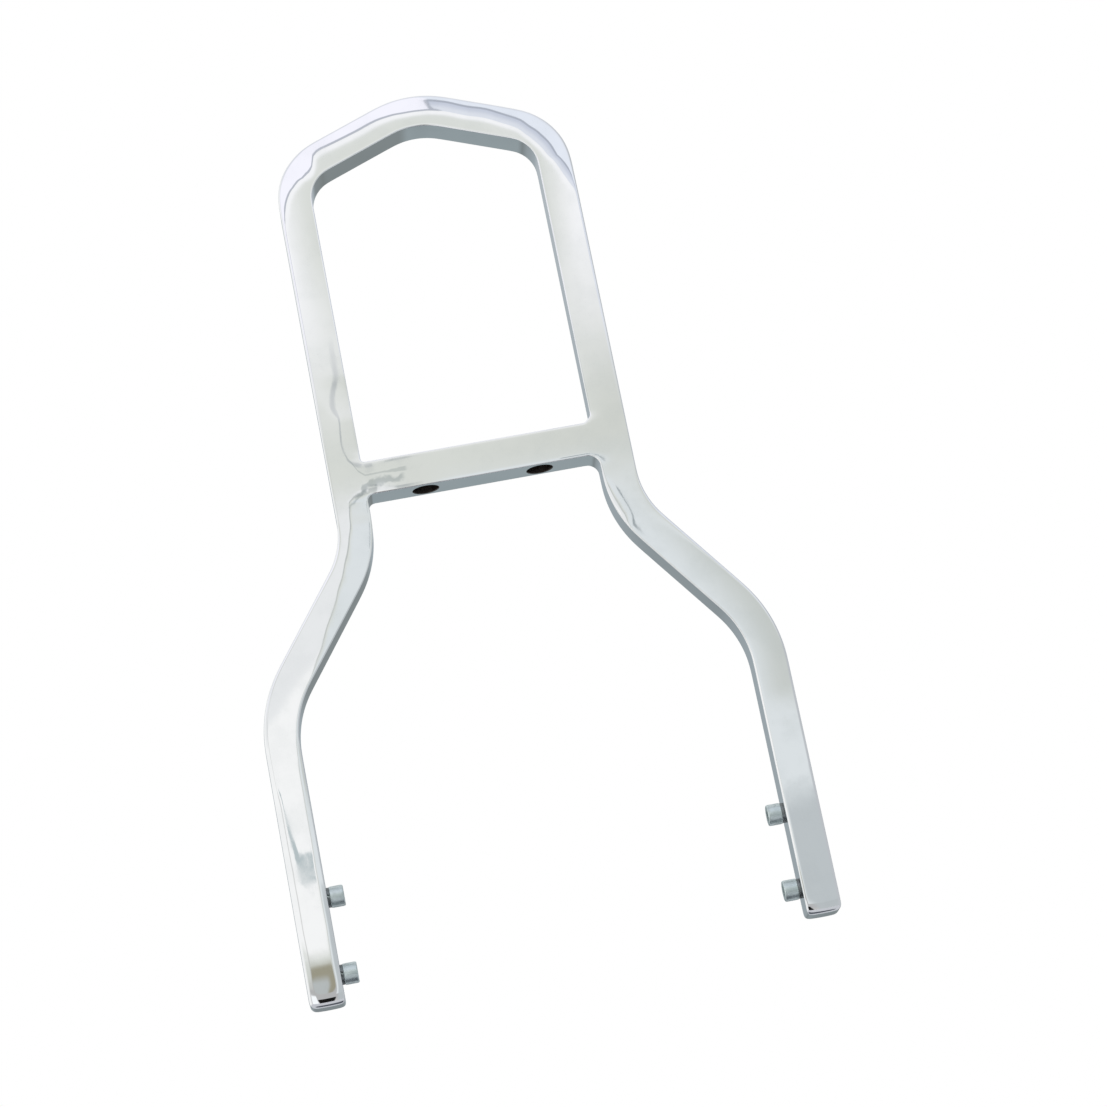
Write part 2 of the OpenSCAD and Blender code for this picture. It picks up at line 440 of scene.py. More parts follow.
class Bench:
    """One mesh object, shaped with Blender's own operators as by hand."""

    def __init__(self, name: str) -> None:
        """Takes the primitive that was just added and puts its place into its mesh.

        Args:
            name: The name that the object gets.
        """
        self.obj = bpy.context.object
        self.obj.name = name
        self.obj.data.name = name
        bpy.ops.object.transform_apply(location=True, rotation=True, scale=True)

    @staticmethod
    def clear() -> None:
        """Deselects every object, the CAD nodes among them."""
        bpy.ops.object.select_all(action="DESELECT")

    def hold(self) -> None:
        """Makes this the one selected and active object."""
        self.clear()
        self.obj.select_set(True)
        bpy.context.view_layer.objects.active = self.obj

    @contextmanager
    def editing(self, part: Part = Part.EDGES) -> Iterator[None]:
        """Holds the object in edit mode.

        Args:
            part: What the selections in there pick.

        Yields:
            Nothing; the mode ends with the block.
        """
        self.hold()
        bpy.ops.object.mode_set(mode="EDIT")
        bpy.context.tool_settings.mesh_select_mode = [part is p for p in Part]
        yield
        bpy.ops.object.mode_set(mode="OBJECT")

    def pick(self, part: Part, wanted: Callable[[object], bool]) -> None:
        """Selects the verts, edges or faces that pass a test, and nothing else.

        Args:
            part: What is selected.
            wanted: Says whether an element is selected.
        """
        bpy.ops.mesh.select_all(action="DESELECT")
        bpy.context.tool_settings.mesh_select_mode = [part is p for p in Part]
        mesh = bmesh.from_edit_mesh(self.obj.data)
        mesh.normal_update()
        for element in (mesh.verts, mesh.edges, mesh.faces)[part.value]:
            if wanted(element):
                element.select = True
        mesh.select_flush_mode()
        bmesh.update_edit_mesh(self.obj.data)

    def move_picked(self, place: Callable[[Vector], Vector]) -> None:
        """Moves the selected vertices.

        Args:
            place: Says where a vertex goes.
        """
        mesh = bmesh.from_edit_mesh(self.obj.data)
        for vert in mesh.verts:
            if vert.select:
                vert.co = place(vert.co)
        bmesh.update_edit_mesh(self.obj.data)

    def extrude(self, way: Vector, steps: Sequence[float]) -> None:
        """Extrudes the selection along a direction.

        Args:
            way: The direction, of length 1.
            steps: The length of each step.
        """
        for step in steps:
            bpy.ops.mesh.extrude_region_move(TRANSFORM_OT_translate={"value": way * step})

    @classmethod
    def turned(
        cls,
        name: str,
        sides: int,
        profile: Sequence[tuple[float, float | Callable[[float], float]]],
    ) -> "Bench":
        """Makes a turned solid along Z by extruding a circle ring by ring.

        Args:
            name: The object's name.
            sides: How many vertices a ring has.
            profile: Height and radius of each ring. A radius may depend on the angle.

        Returns:
            The solid, with both ends closed.
        """
        cls.clear()
        start = (0, 0, profile[0][0])
        bpy.ops.mesh.primitive_circle_add(
            vertices=sides, radius=profile[0][1], fill_type="NGON", location=start
        )
        bench = cls(name)
        with bench.editing(Part.FACES):
            bpy.ops.mesh.select_all(action="SELECT")
            for height, radius in profile[1:]:
                bpy.ops.mesh.extrude_region_move()
                bench.move_picked(lambda p, z=height, r=radius: cls._on_ring(p, z, r))
            bpy.ops.mesh.select_all(action="SELECT")
            bpy.ops.mesh.normals_make_consistent(inside=False)
        return bench

    @staticmethod
    def _on_ring(point: Vector, height: float, radius: float | Callable[[float], float]) -> Vector:
        """Puts a vertex on a ring, in its own direction.

        Args:
            point: Where the vertex is.
            height: The ring's height.
            radius: Its radius, or the radius in a direction.

        Returns:
            Where the vertex goes.
        """
        angle = math.atan2(point.y, point.x)
        reach = radius(angle) if callable(radius) else radius
        return Vector((reach * math.cos(angle), reach * math.sin(angle), height))

    def apply(self, kind: str, **settings: object) -> None:
        """Adds a modifier and applies it.

        Args:
            kind: The modifier's type.
            settings: Its settings.
        """
        self.hold()
        modifier = self.obj.modifiers.new(kind.lower(), kind)
        for name, setting in settings.items():
            setattr(modifier, name, setting)
        bpy.ops.object.modifier_apply(modifier=modifier.name)

    def tidy(self, merge: float, angle: float) -> None:
        """Merges doubles, turns the faces outwards and shades the mesh smooth.

        Args:
            merge: The distance within which vertices merge.
            angle: Edges sharper than this, in degrees, stay sharp.
        """
        with self.editing(Part.FACES):
            bpy.ops.mesh.select_all(action="SELECT")
            bpy.ops.mesh.remove_doubles(threshold=merge)
            bpy.ops.mesh.normals_make_consistent(inside=False)
        self.hold()
        bpy.ops.object.shade_smooth_by_angle(angle=math.radians(angle))

    def copy(self, name: str, matrix: Matrix) -> bpy.types.Object:
        """Copies the object with its own mesh, whose place is in its vertices.

        Args:
            name: The copy's name.
            matrix: Where the copy goes.

        Returns:
            The copy.
        """
        twin = self.obj.copy()
        twin.data = self.obj.data.copy()
        twin.name = twin.data.name = name
        twin.data.transform(matrix)
        bpy.context.scene.collection.objects.link(twin)
        return twin


@dataclass(frozen=True)
class Stretch:
    """A straight run of the bar's centre line, or one of its bends.

    A turn is positive to the right of the heading, as seen from the front.
    """

    start: Vector
    heading: Vector
    length: float
    radius: float = 0.0
    turn: float = 0.0

    @property
    def right(self) -> Vector:
        """The direction to the right of the heading, away from the object's middle."""
        return Vector((self.heading.z, 0, -self.heading.x))

    @property
    def centre(self) -> Vector:
        """Where a bend turns round."""
        return self.start + self.right * math.copysign(self.radius, self.turn)

    @property
    def end(self) -> Vector:
        """Where the stretch ends.

        Returns:
            The end's place.
        """
        if not self.radius:
            return self.start + self.heading * self.length
        swing = Matrix.Rotation(self.turn, 3, "Y")
        return self.centre + swing @ (self.start - self.centre)

    @property
    def last_heading(self) -> Vector:
        """The direction in which the stretch ends."""
        return Matrix.Rotation(self.turn, 3, "Y") @ self.heading

    def locate(self, point: Vector) -> tuple[float, float] | None:
        """Finds a point beside this stretch.

        Args:
            point: A point in the bar's plane.

        Returns:
            How far along the stretch it lies and its offset to the right, or None where it lies
            beside another stretch.
        """
        if not self.radius:
            away = point - self.start
            along = away.dot(self.heading)
            inside = -SLACK <= along <= self.length + SLACK
            return (along, away.dot(self.right)) if inside else None
        side = math.copysign(1.0, self.turn)
        arm = point - self.centre
        along = math.atan2(arm.dot(self.heading), -arm.dot(self.right) * side) * self.radius
        inside = -SLACK <= along <= self.length + SLACK
        return (along, (self.radius - arm.length) * side) if inside else None


def smooth(value: float, low: float, high: float) -> float:
    """Rises smoothly from 0 where the value is low to 1 where it is high."""
    part = min(1.0, max(0.0, (value - low) / (high - low)))
    return part * part * (3 - 2 * part)


@dataclass(frozen=True)
class Corner:
    """A corner of the bar's outline, rounded in the bar's plane."""

    x: float
    z: float
    across: int
    up: int
    radius: float
    flatness: float = 0.0
    clearance: float = 0.5 * MM

    def reach(self, point: Vector) -> tuple[float, float]:
        """How far a point lies from the corner along its level and its upright side."""
        return (point.x - self.x) * self.across, (point.z - self.z) * self.up

    def holds(self, point: Vector) -> bool:
        """Says whether an outline point lies on the stretch that the rounding takes up.

        Args:
            point: A point of the outline.

        Returns:
            Whether the rounding moves it.
        """
        level, upright = self.reach(point)
        on_side = min(abs(level), abs(upright)) < SLACK
        return on_side and -SLACK < level < self.radius and -SLACK < upright < self.radius

    def place(self, point: Vector) -> Vector:
        """Puts an outline point on the rounding, or on the facet where the corner is flat.

        Args:
            point: A point that the corner holds.

        Returns:
            Its new place.
        """
        level, upright = self.reach(point)
        turned = 1 - max(level, upright, 0.0) / self.radius
        near, far = 1 - math.cos(turned * math.pi / 4), 1 - math.sin(turned * math.pi / 4)
        near += (turned / 2 - near) * self.flatness
        far += (1 - turned / 2 - far) * self.flatness
        if level > upright:
            near, far = far, near
        x = self.x + self.across * near * self.radius
        return Vector((x, point.y, self.z + self.up * far * self.radius))

    def crowds(self, point: Vector) -> bool:
        """Says whether a point inside the outline is the one next to this corner."""
        return all(SLACK < reach < self.radius for reach in self.reach(point))

    def free(self, point: Vector) -> Vector:
        """Moves that point away from the corner, so that the edge's rounding has room."""
        gap = self.clearance
        return Vector((point.x + self.across * gap, point.y, point.z + self.up * gap))


@dataclass(frozen=True)
class Slope:
    """A strip along the bar where grinding has let the face slope back towards one edge.

    Each mark gives a distance along the centre line from the foot and the slope's line there, as
    its distance from the centre line, both in millimetres, and the tilt on the line, in degrees.
    The slope starts inside the line, by the fade, and gets steeper towards the edge. Over the last
    run the fade changes to its last value.
    """

    outward: bool
    marks: tuple[tuple[float, float, float], ...]
    fade: float = 1.0
    curve: float = 1.3
    waver: float = 0.3
    last_fade: float = 1.0
    last_run: float = 25.0

    def depth(self, along: float, offset: float, wave: float) -> float:
        """How deep the slope lies at a point.

        Args:
            along: Distance from the foot along the centre line.
            offset: Distance from the centre line, away from the object's middle.
            wave: Unevenness of the handwork there, about -1 to 1.

        Returns:
            The depth under the flat face.
        """
        place = along / MM
        if not self.marks[0][0] < place < self.marks[-1][0]:
            return 0.0
        after = next(i for i, mark in enumerate(self.marks) if mark[0] >= place)
        start, end = self.marks[after - 1], self.marks[after]
        share = smooth(place, start[0], end[0])
        line = start[1] + (end[1] - start[1]) * share + wave * self.waver
        tilt = start[2] + (end[2] - start[2]) * share
        change = smooth(place, self.marks[-1][0] - self.last_run, self.marks[-1][0])
        fade = self.fade + (self.last_fade - self.fade) * change
        reach = (offset if self.outward else -offset) / MM - line + fade
        steepness = math.radians(tilt) / (self.curve * fade ** (self.curve - 1))
        return steepness * max(0.0, reach) ** self.curve * MM


@dataclass(frozen=True)
class EdgeRadii:
    """Radii of the long edges of one half, worn by polishing."""

    leg_outer: float
    leg_inner: float
    hoop: float
    arch: float = 1.1 * MM
    window: float = 0.35 * MM
    foot: float = 1.1 * MM


LEFT_SLOPES = (
    Slope(True, ((-5, 5.6, 2.4), (90, 5.8, 2.2), (120, 8.9, 0.0))),
    Slope(False, ((-5, 6.4, 2.6), (100, 6.5, 2.2), (140, 8.9, 0.0))),
    Slope(
        False,
        (
            (150, 9.0, 0.6), (165, 6.0, 0.9), (182.6, 2.8, 1.1), (188.9, 1.9, 1.1),
            (199.9, -0.7, 1.1), (211.3, -2.8, 1.1), (220.9, -2.5, 1.1), (230.1, -1.3, 1.0),
            (238.9, -0.1, 0.9), (241.4, 2.1, 0.5), (243.6, 5.8, 0.15), (248, 9.5, 0.1),
            (250, 9.5, 0.1), (253.8, 5.9, 0.15), (260.1, 2.7, 0.6), (266.1, 1.1, 0.6),
            (275.1, 2.1, 0.6), (280.7, 3.1, 0.6), (283.4, -1.8, 0.5), (289, -3.6, 0.45),
            (294, -5.0, 0.3), (300, -7.0, 0.0),
        ),
        fade=0.8,
        curve=1.0,
        waver=0.15,
    ),
    Slope(
        True,
        (
            (370, 14.0, 3.4), (382, 8.6, 3.4), (388, 6.8, 3.4), (392.7, 4.4, 3.4),
            (398.5, 1.4, 3.4), (404.8, -2.0, 3.4), (408.7, -1.2, 3.4), (412.6, 2.6, 3.4),
            (416.4, 3.7, 3.4), (421.5, 2.8, 3.4), (434.5, 2.7, 3.4), (441, 2.4, 3.4),
            (465.4, -0.6, 3.4),
        ),
        fade=4.4,
        curve=1.7,
        waver=0.5,
        last_fade=3.0,
    ),
)
RIGHT_SLOPES = (
    Slope(True, ((-5, 5.8, 2.0), (60, 6.6, 1.5), (90, 8.9, 0.0))),
    Slope(
        False,
        (
            (190, 9.5, 0.35), (203.4, 8.2, 0.4), (209.0, 6.1, 0.45), (211.0, 3.6, 0.45),
            (212.8, 2.5, 0.45), (218.4, 2.7, 0.45), (224.9, 4.2, 0.45), (230.9, 6.5, 0.45),
            (236.7, 8.2, 0.4), (245, 10.0, 0.3),
        ),
        fade=0.6,
        curve=1.7,
        waver=0.15,
    ),
    Slope(
        True,
        (
            (366, 11.0, 3.0), (376.9, 5.4, 3.2), (380.8, 3.5, 3.2), (386.5, 1.3, 3.2),
            (392.0, -2.3, 3.2), (400.5, -3.5, 3.2), (405.6, -3.4, 3.2), (414.3, -2.2, 3.2),
            (421.2, -1.3, 3.2), (431.2, 0.1, 3.2), (444.2, -0.2, 3.2), (465.4, -0.6, 3.4),
        ),
        fade=2.4,
        curve=1.7,
        waver=0.5,
        last_fade=3.0,
    ),
)


@dataclass
class PlatedBar:
    """The bent bar with its crossbar and ground welds, as one plated surface.

    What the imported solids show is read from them: the bar's width, the places of the legs, the hoop
    and the crossbar, and the height of the crown. The welds' blends are given left and right, each
    by its radius and its flatness. Waves are noise, given by the features in a metre each way and
    a seed, and the hand waves, along and across the bar, by their strength before these.
    """

    finish: Chrome
    bore_finish_and_painted_shade: Zinc
    edge_r: float = 1.6 * MM
    edge_steps: int = 4
    edge_hold: float = 0.4 * MM
    hip_z: float = 135 * MM
    lean: tuple[float, float] = (3, 4)
    arch: tuple[float, float] = (117, 44)
    hip_r: float = 55 * MM
    waist_r: float = 46 * MM
    shoulder_r: float = 23 * MM
    apex_r: float = 40 * MM
    columns: int = 8
    station: float = 5.5 * MM
    bend_station: float = 3.85 * MM
    least_bend_steps: int = 4
    weld_stations: tuple[float, ...] = (0.9 * MM, 1.0 * MM, 1.1 * MM, 1.4 * MM, 2.1 * MM)
    weld_top: tuple[tuple[float, float], ...] = ((1.6 * MM, 0.0), (3.2 * MM, 0.85))
    weld_bottom: tuple[tuple[float, float], ...] = ((3.2 * MM, 0.0), (4.5 * MM, 0.3))
    weld_fade: float = 6 * MM
    weld_hollow: float = 0.012 * MM
    weld_hollow_reach: Rise = (4 * MM, 30 * MM)
    weld_unevenness: float = 0.8
    right_weld_share: float = 0.1
    foot_outer_r: float = 2.4 * MM
    foot_inner_r: float = 1.4 * MM
    foot_height: float = 4.8 * MM
    foot_push: float = 1.8 * MM
    foot_convex: float = 0.3 * MM
    foot_edge_height: float = 0.5 * MM
    foot_fall: float = 0.25 * MM
    foot_fall_height: float = 20 * MM
    foot_round: float = 0.22 * MM
    foot_round_height: float = 9 * MM
    crown: float = 0.05 * MM
    crossbar_crown: float = 0.008 * MM
    crossbar_margin: float = 1.01
    beside_reach: float = 1.5
    spill_reach: float = 1.45
    hand_waves: tuple[tuple[float, float, float, float], ...] = (
        (1.0, 70, 9, 0.3),
        (0.6, 190, 9, 7.7),
    )
    weld_waves: tuple[float, float, float] = (90, 60, 1.7)
    hip_wear: Rise = (-15 * MM, 45 * MM)
    arch_wear: Rise = (-45 * MM, -12 * MM)
    left_edges: EdgeRadii = EdgeRadii(1.6 * MM, 0.8 * MM, 0.75 * MM)
    right_edges: EdgeRadii = EdgeRadii(1.5 * MM, 0.65 * MM, 0.75 * MM)
    pad_hole_spacing: float = 53.3 * MM
    pad_hole_d: float = 6.8 * MM
    counterbore_d: float = 11.9 * MM
    counterbore_depth: float = 7.2 * MM
    hole_rim: float = 0.35 * MM
    tap_d: float = 6.43 * MM
    tap_depth: float = 12.5 * MM
    bore_sides: int = 64
    tap_sides: int = 48
    drill_tip_r: float = 0.2 * MM
    drill_tip_share: float = 0.58
    shading_angle: float = 35

    def __post_init__(self) -> None:
        """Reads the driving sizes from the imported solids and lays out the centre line."""
        low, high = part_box("crossbar")
        self.bar_w = high.y - low.y
        self.half_w = self.bar_w / 2
        self.crossbar_z = (low.z + high.z) / 2
        self.hoop_inner_x = high.x
        self.hoop_x = high.x + self.half_w
        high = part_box("bent_bar")[1]
        self.leg_x = high.x - self.half_w
        self.crown_z = high.z - self.half_w
        self.cell = self.bar_w / self.columns
        self.stretches = self._centre_line()
        self.leg_run, self.hoop_run = self.stretches[0], self.stretches[4]
        self.length = sum(s.length for s in self.stretches)

    def _centre_line(self) -> list[Stretch]:
        """Lays out the right half's centre line from the foot up to the crown.

        Returns:
            The stretches in order.
        """
        lean = math.atan2(*self.lean)
        shoulder = math.atan2(*self.arch)
        apex = QUARTER - shoulder
        waist_z = self.hip_z + (self.leg_x - self.hoop_x) / math.tan(lean)
        apex_z = self.crown_z + self.apex_r * (1 / math.cos(apex) - 1)
        shoulder_z = apex_z - self.hoop_x * math.tan(apex)
        hip_taken = self.hip_r * math.tan(lean / 2)
        waist_taken = self.waist_r * math.tan(lean / 2)
        shoulder_taken = self.shoulder_r * math.tan(shoulder / 2)
        apex_taken = self.apex_r * math.tan(apex)
        runs = [
            (self.hip_z - hip_taken, 0.0, 0.0),
            (0.0, self.hip_r, -lean),
            ((waist_z - self.hip_z) / math.cos(lean) - hip_taken - waist_taken, 0.0, 0.0),
            (0.0, self.waist_r, lean),
            (shoulder_z - waist_z - waist_taken - shoulder_taken, 0.0, 0.0),
            (0.0, self.shoulder_r, -shoulder),
            (self.hoop_x / math.cos(apex) - shoulder_taken - apex_taken, 0.0, 0.0),
            (0.0, self.apex_r, -apex),
        ]
        start, heading, made = Vector((self.leg_x, 0, 0)), Vector((0, 0, 1)), []
        for length, radius, turn in runs:
            made.append(Stretch(start, heading, length or abs(turn) * radius, radius, turn))
            start, heading = made[-1].end, made[-1].last_heading
        return made

    def _even(self, length: float) -> list[float]:
        """Cuts a length into even stations."""
        count = max(1, round(length / self.station))
        return [length / count] * count

    def _steps_of(self, stretch: Stretch) -> list[float]:
        """The stations of a straight run, closer at the crossbar's welds.

        Args:
            stretch: A straight run.

        Returns:
            The length of each station.
        """
        if stretch is self.leg_run:
            return self._even(stretch.length - self.bar_w)
        if stretch is not self.hoop_run:
            return self._even(stretch.length)
        near = list(self.weld_stations)
        below = self.crossbar_z - self.half_w - stretch.start.z - sum(near)
        above = stretch.length - below - self.bar_w - 2 * sum(near)
        across = [self.cell] * self.columns
        below_steps = self._even(below) if below > self.edge_r else [below]
        return [*below_steps, *near[::-1], *across, *near, *self._even(above)]

    def _front_sheet(self) -> Bench:
        """Makes the front of the right half as a flat sheet of quads and mirrors it.

        Returns:
            The sheet of both halves, where the edges' rounding starts.
        """
        Bench.clear()
        bpy.ops.mesh.primitive_grid_add(
            x_subdivisions=self.columns,
            y_subdivisions=self.columns,
            size=self.bar_w,
            location=(self.leg_x, self.edge_r - self.half_w, self.half_w),
            rotation=(QUARTER, 0, 0),
        )
        bench = Bench("plated_bar")
        with bench.editing():
            top = self.bar_w - SLACK
            bench.pick(Part.EDGES, lambda e: all(v.co.z > top for v in e.verts))
            for stretch in self.stretches:
                if not stretch.radius:
                    bench.extrude(stretch.heading, self._steps_of(stretch))
                    continue
                steps = max(self.least_bend_steps, round(stretch.length / self.bend_station))
                centre = stretch.centre
                bpy.ops.mesh.spin(steps=steps, angle=-stretch.turn, center=centre, axis=(0, 1, 0))
            bench.pick(Part.EDGES, self._faces_the_crossbar)
            near = list(self.weld_stations)
            rest = self._even(self.hoop_inner_x - sum(near))
            bench.extrude(Vector((-1, 0, 0)), [*near, *rest])
            bpy.ops.mesh.select_all(action="SELECT")
            bpy.ops.mesh.remove_doubles(threshold=SLACK)
        bench.apply("MIRROR", use_axis=(True, False, False), use_mirror_merge=True)
        return bench

    def _faces_the_crossbar(self, edge: bmesh.types.BMEdge) -> bool:
        """Says whether the crossbar joins the hoop at an edge of the hoop's inner side.

        Args:
            edge: An edge of the sheet.

        Returns:
            Whether it is one that the crossbar starts from.
        """
        return all(
            abs(v.co.x - self.hoop_inner_x) < SLACK
            and abs(v.co.z - self.crossbar_z) < self.half_w + SLACK
            for v in edge.verts
        )

    def _corners(self) -> list[Corner]:
        """Lists the welds' blends round the crossbar's ends and the feet's corners.

        Returns:
            The corners.
        """
        inner, outer = self.hoop_inner_x, self.leg_x + self.half_w
        made = []
        for up, blends in ((1, self.weld_top), (-1, self.weld_bottom)):
            for side, blend in zip(Side, blends):
                z = self.crossbar_z + up * self.half_w
                made.append(Corner(side.sign * inner, z, -side.sign, up, *blend))
        for side in Side:
            near = outer - self.bar_w
            made.append(Corner(side.sign * outer, 0.0, -side.sign, 1, self.foot_outer_r))
            made.append(Corner(side.sign * near, 0.0, side.sign, 1, self.foot_inner_r))
        return made

    def _shape(self, bench: Bench) -> None:
        """Rounds the outline's corners and gives the sheet its thickness and rounded edges.

        Args:
            bench: The flat sheet.
        """
        wall = self.bar_w - 2 * self.edge_r
        hold = self.edge_hold
        with bench.editing(Part.FACES):
            for corner in self._corners():
                bench.pick(Part.VERTS, lambda v, c=corner: c.crowds(v.co))
                bench.move_picked(corner.free)
                bench.pick(Part.VERTS, lambda v, c=corner: c.holds(v.co))
                bench.move_picked(corner.place)
            bench.pick(Part.FACES, lambda f: True)
            bench.extrude(-FRONT, (hold, wall - 2 * hold, hold))
            bpy.ops.mesh.select_all(action="SELECT")
            bpy.ops.mesh.normals_make_consistent(inside=False)
            for way in (FRONT, -FRONT):
                bench.pick(Part.FACES, lambda f, way=way: f.normal.dot(way) > FACING)
                self._round_edge()

    def _round_edge(self) -> None:
        """Insets the picked face in steps along a quarter circle, which rounds its outline."""
        inset, rise = 0.0, 0.0
        for step in range(1, self.edge_steps + 1):
            angle = step / self.edge_steps * QUARTER
            inward = self.edge_r * (1 - math.cos(angle))
            outward = self.edge_r * math.sin(angle)
            bpy.ops.mesh.inset(thickness=inward - inset, depth=outward - rise)
            inset, rise = inward, outward

    def _along(self, x: float, z: float) -> tuple[float, float] | None:
        """Finds a point's distance from the foot along the centre line, and its outward offset.

        Args:
            x: The point's X.
            z: The point's Z.

        Returns:
            Both, or None for a point of the crossbar.
        """
        point, done = Vector((abs(x), 0, z)), 0.0
        for stretch in self.stretches:
            found = stretch.locate(point)
            if found and abs(found[1]) < self.bar_w * self.beside_reach:
                return done + found[0], found[1]
            done += stretch.length
        return None

    def _edge_radius(self, point: Vector) -> float:
        """The radius that polishing has left on the long edge at a point of the outline.

        Args:
            point: A point of the outline.

        Returns:
            The radius.
        """
        edges = self.right_edges if point.x > 0 else self.left_edges
        found = self._along(point.x, point.z)
        if found is None:
            return edges.window
        along, offset = found
        if point.z < self.foot_edge_height:
            return edges.foot
        hip = self.leg_run.length
        arch = self.length - sum(s.length for s in self.stretches[-2:])
        over_hip = smooth(along - hip, *self.hip_wear)
        if offset < 0:
            return edges.leg_inner + (edges.window - edges.leg_inner) * over_hip
        over_shoulder = smooth(along - arch, *self.arch_wear)
        radius = edges.leg_outer + (edges.hoop - edges.leg_outer) * over_hip
        return radius + (edges.arch - radius) * over_shoulder

    def _wear_edges(self, bench: Bench) -> None:
        """Gives every stretch of the rounded edges its own radius.

        Args:
            bench: The bar, with all its edges rounded alike.
        """
        start = self.half_w - self.edge_r
        with bench.editing(Part.VERTS):
            mesh = bmesh.from_edit_mesh(bench.obj.data)
            ring = [v for v in mesh.verts if abs(abs(v.co.y) - start) < SLACK]
            spots = {}
            for first in ring:
                share = self._edge_radius(first.co) / self.edge_r
                chain = [self._next_inwards(first, False), first]
                while chain[-1] is not None:
                    chain.append(self._next_inwards(chain[-1], True))
                for vert in chain[:-1]:
                    spot = first.co + (vert.co - first.co) * share
                    sunk = (self.half_w - abs(vert.co.y)) * share
                    spot.y = math.copysign(self.half_w - sunk, vert.co.y)
                    spots[vert] = spot
            for vert, spot in spots.items():
                vert.co = spot
            bmesh.update_edit_mesh(bench.obj.data)

    @staticmethod
    def _next_inwards(vert: bmesh.types.BMVert, up: bool) -> bmesh.types.BMVert | None:
        """Finds a vertex's neighbour along the rounding of an edge.

        Args:
            vert: The vertex.
            up: Whether the neighbour nearer to the front or back face is wanted, or else the one
                nearer to the middle plane.

        Returns:
            The neighbour, or None where there is none.
        """
        for edge in vert.link_edges:
            other = edge.other_vert(vert)
            gain = abs(other.co.y) - abs(vert.co.y)
            if (gain > HAIR) if up else (gain < -HAIR):
                return other
        return None

    def _relief(self, x: float, z: float) -> float:
        """How far polishing has taken the face down at a point.

        Args:
            x: The point's X.
            z: The point's Z.

        Returns:
            The depth under a perfectly flat face.
        """
        depth = 0.0
        found = self._along(x, z)
        off_hoop = self.hoop_inner_x - abs(x)
        rise = (z - self.crossbar_z) / self.half_w
        if off_hoop > 0 and abs(rise) < self.crossbar_margin:
            depth = self._crossbar_relief(x, z, off_hoop, rise)
        elif found:
            depth = self.crown * (found[1] / self.half_w) ** 2
            if found[1] < 0 and abs(x) < self.hoop_x:
                depth *= smooth((abs(rise) - 1) * self.half_w, 0.0, self.weld_fade)
        if found:
            along, offset = found
            wave = sum(
                strength * noise.noise(Vector((along * lengthwise, x * across, seed)))
                for strength, lengthwise, across, seed in self.hand_waves
            )
            spill = 1 - smooth(-offset, self.half_w, self.bar_w * self.spill_reach)
            for slope in LEFT_SLOPES if x < 0 else RIGHT_SLOPES:
                depth += slope.depth(along, max(offset, -self.half_w), wave) * spill
        return depth

    def _crossbar_relief(self, x: float, z: float, off_hoop: float, rise: float) -> float:
        """How far polishing has taken down the crossbar's face, with the hollow at its welds.

        Args:
            x: The point's X.
            z: The point's Z.
            off_hoop: How far it lies from the hoop's inner side.
            rise: Its height over the crossbar's middle, as a share of half the width.

        Returns:
            The depth under a flat face.
        """
        across, upwards, seed = self.weld_waves
        wave = noise.noise(Vector((x * across, z * upwards, seed)))
        ground = self.weld_hollow * (1 - smooth(off_hoop, *self.weld_hollow_reach))
        ground *= (1 + self.weld_unevenness * wave) if x < 0 else self.right_weld_share
        ground += self.crossbar_crown * rise**2
        return ground * smooth(off_hoop, 0.0, self.weld_fade)

    def _foot_relief(self, z: float) -> float:
        """How far the face is taken back near the foot: a slight fall and the end's rounding.

        Args:
            z: The point's Z.

        Returns:
            The depth under a flat face.
        """
        part = min(1.0, max(0.0, 1 - z / self.foot_height))
        fall = max(0.0, 1 - z / self.foot_fall_height) ** 2
        return self.foot_push * (1 - math.sqrt(1 - part * part)) + self.foot_fall * fall

    def _polish(self, bench: Bench) -> None:
        """Moves the faces as hand grinding and polishing have left them.

        Args:
            bench: The bar, still with its flat faces.
        """

        def ground(point: Vector) -> Vector:
            """Takes a point back towards the middle plane and rounds the foot's end.

            Args:
                point: A point of the surface.

            Returns:
                Its new place.
            """
            relief = self._relief(point.x, point.z)
            if abs(point.x) < self.hoop_x + self.bar_w:
                return Vector((point.x, point.y * (1 - relief / self.half_w), point.z))
            across = (abs(point.x) - self.leg_x) / self.half_w
            near_end = 1 - smooth(point.z, 0.0, self.foot_round_height)
            relief += self._foot_relief(point.z) + self.foot_round * across**2 * near_end
            lift = self.foot_convex * across**2 * (1 - smooth(point.z, 0.0, self.foot_height))
            return Vector((point.x, point.y * (1 - relief / self.half_w), point.z + lift))

        bench.apply("SUBSURF", levels=1, render_levels=1)
        with bench.editing(Part.VERTS):
            bpy.ops.mesh.select_all(action="SELECT")
            bench.move_picked(ground)

